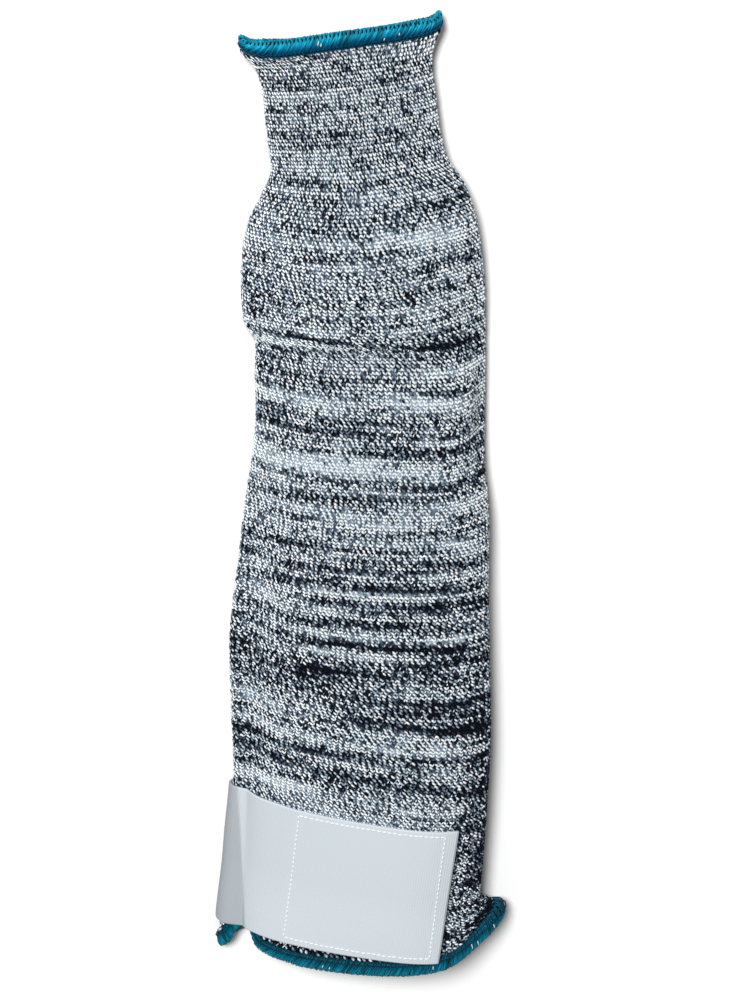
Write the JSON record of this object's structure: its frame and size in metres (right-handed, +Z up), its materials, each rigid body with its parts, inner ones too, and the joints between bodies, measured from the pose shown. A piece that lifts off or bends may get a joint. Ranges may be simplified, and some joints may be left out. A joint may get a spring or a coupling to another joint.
{
  "type": "cut resistant sleeve",
  "caption": "Seamless knitted forearm sleeve with a narrow wrist cuff, overlocked edges and a woven closure strap round the arm end, lying flat on its back.",
  "frame": {"origin": "centre of the bounding box at the level of the surface that the sleeve lies on", "axes": "+Z up, away from the surface; +Y along the sleeve, towards the wrist opening; +X towards the strap's free end, to the right of the front seen from above"},
  "size_m": [0.1179, 0.3983, 0.0366],
  "materials": {
    "marl_knit": "matte marl knit of mixed black and white yarn",
    "teal_edge": "matte overlock thread with a slight sheen",
    "grey_web": "matte fine woven strap",
    "grey_hook": "matte fastener tape"
  },
  "bodies": {
    "root": {"knit_sleeve": "marl_knit", "wrist_hem": "teal_edge", "arm_hem": "teal_edge", "closure_strap": "grey_web", "hook_patch": "grey_hook"}
  },
  "joints": []
}
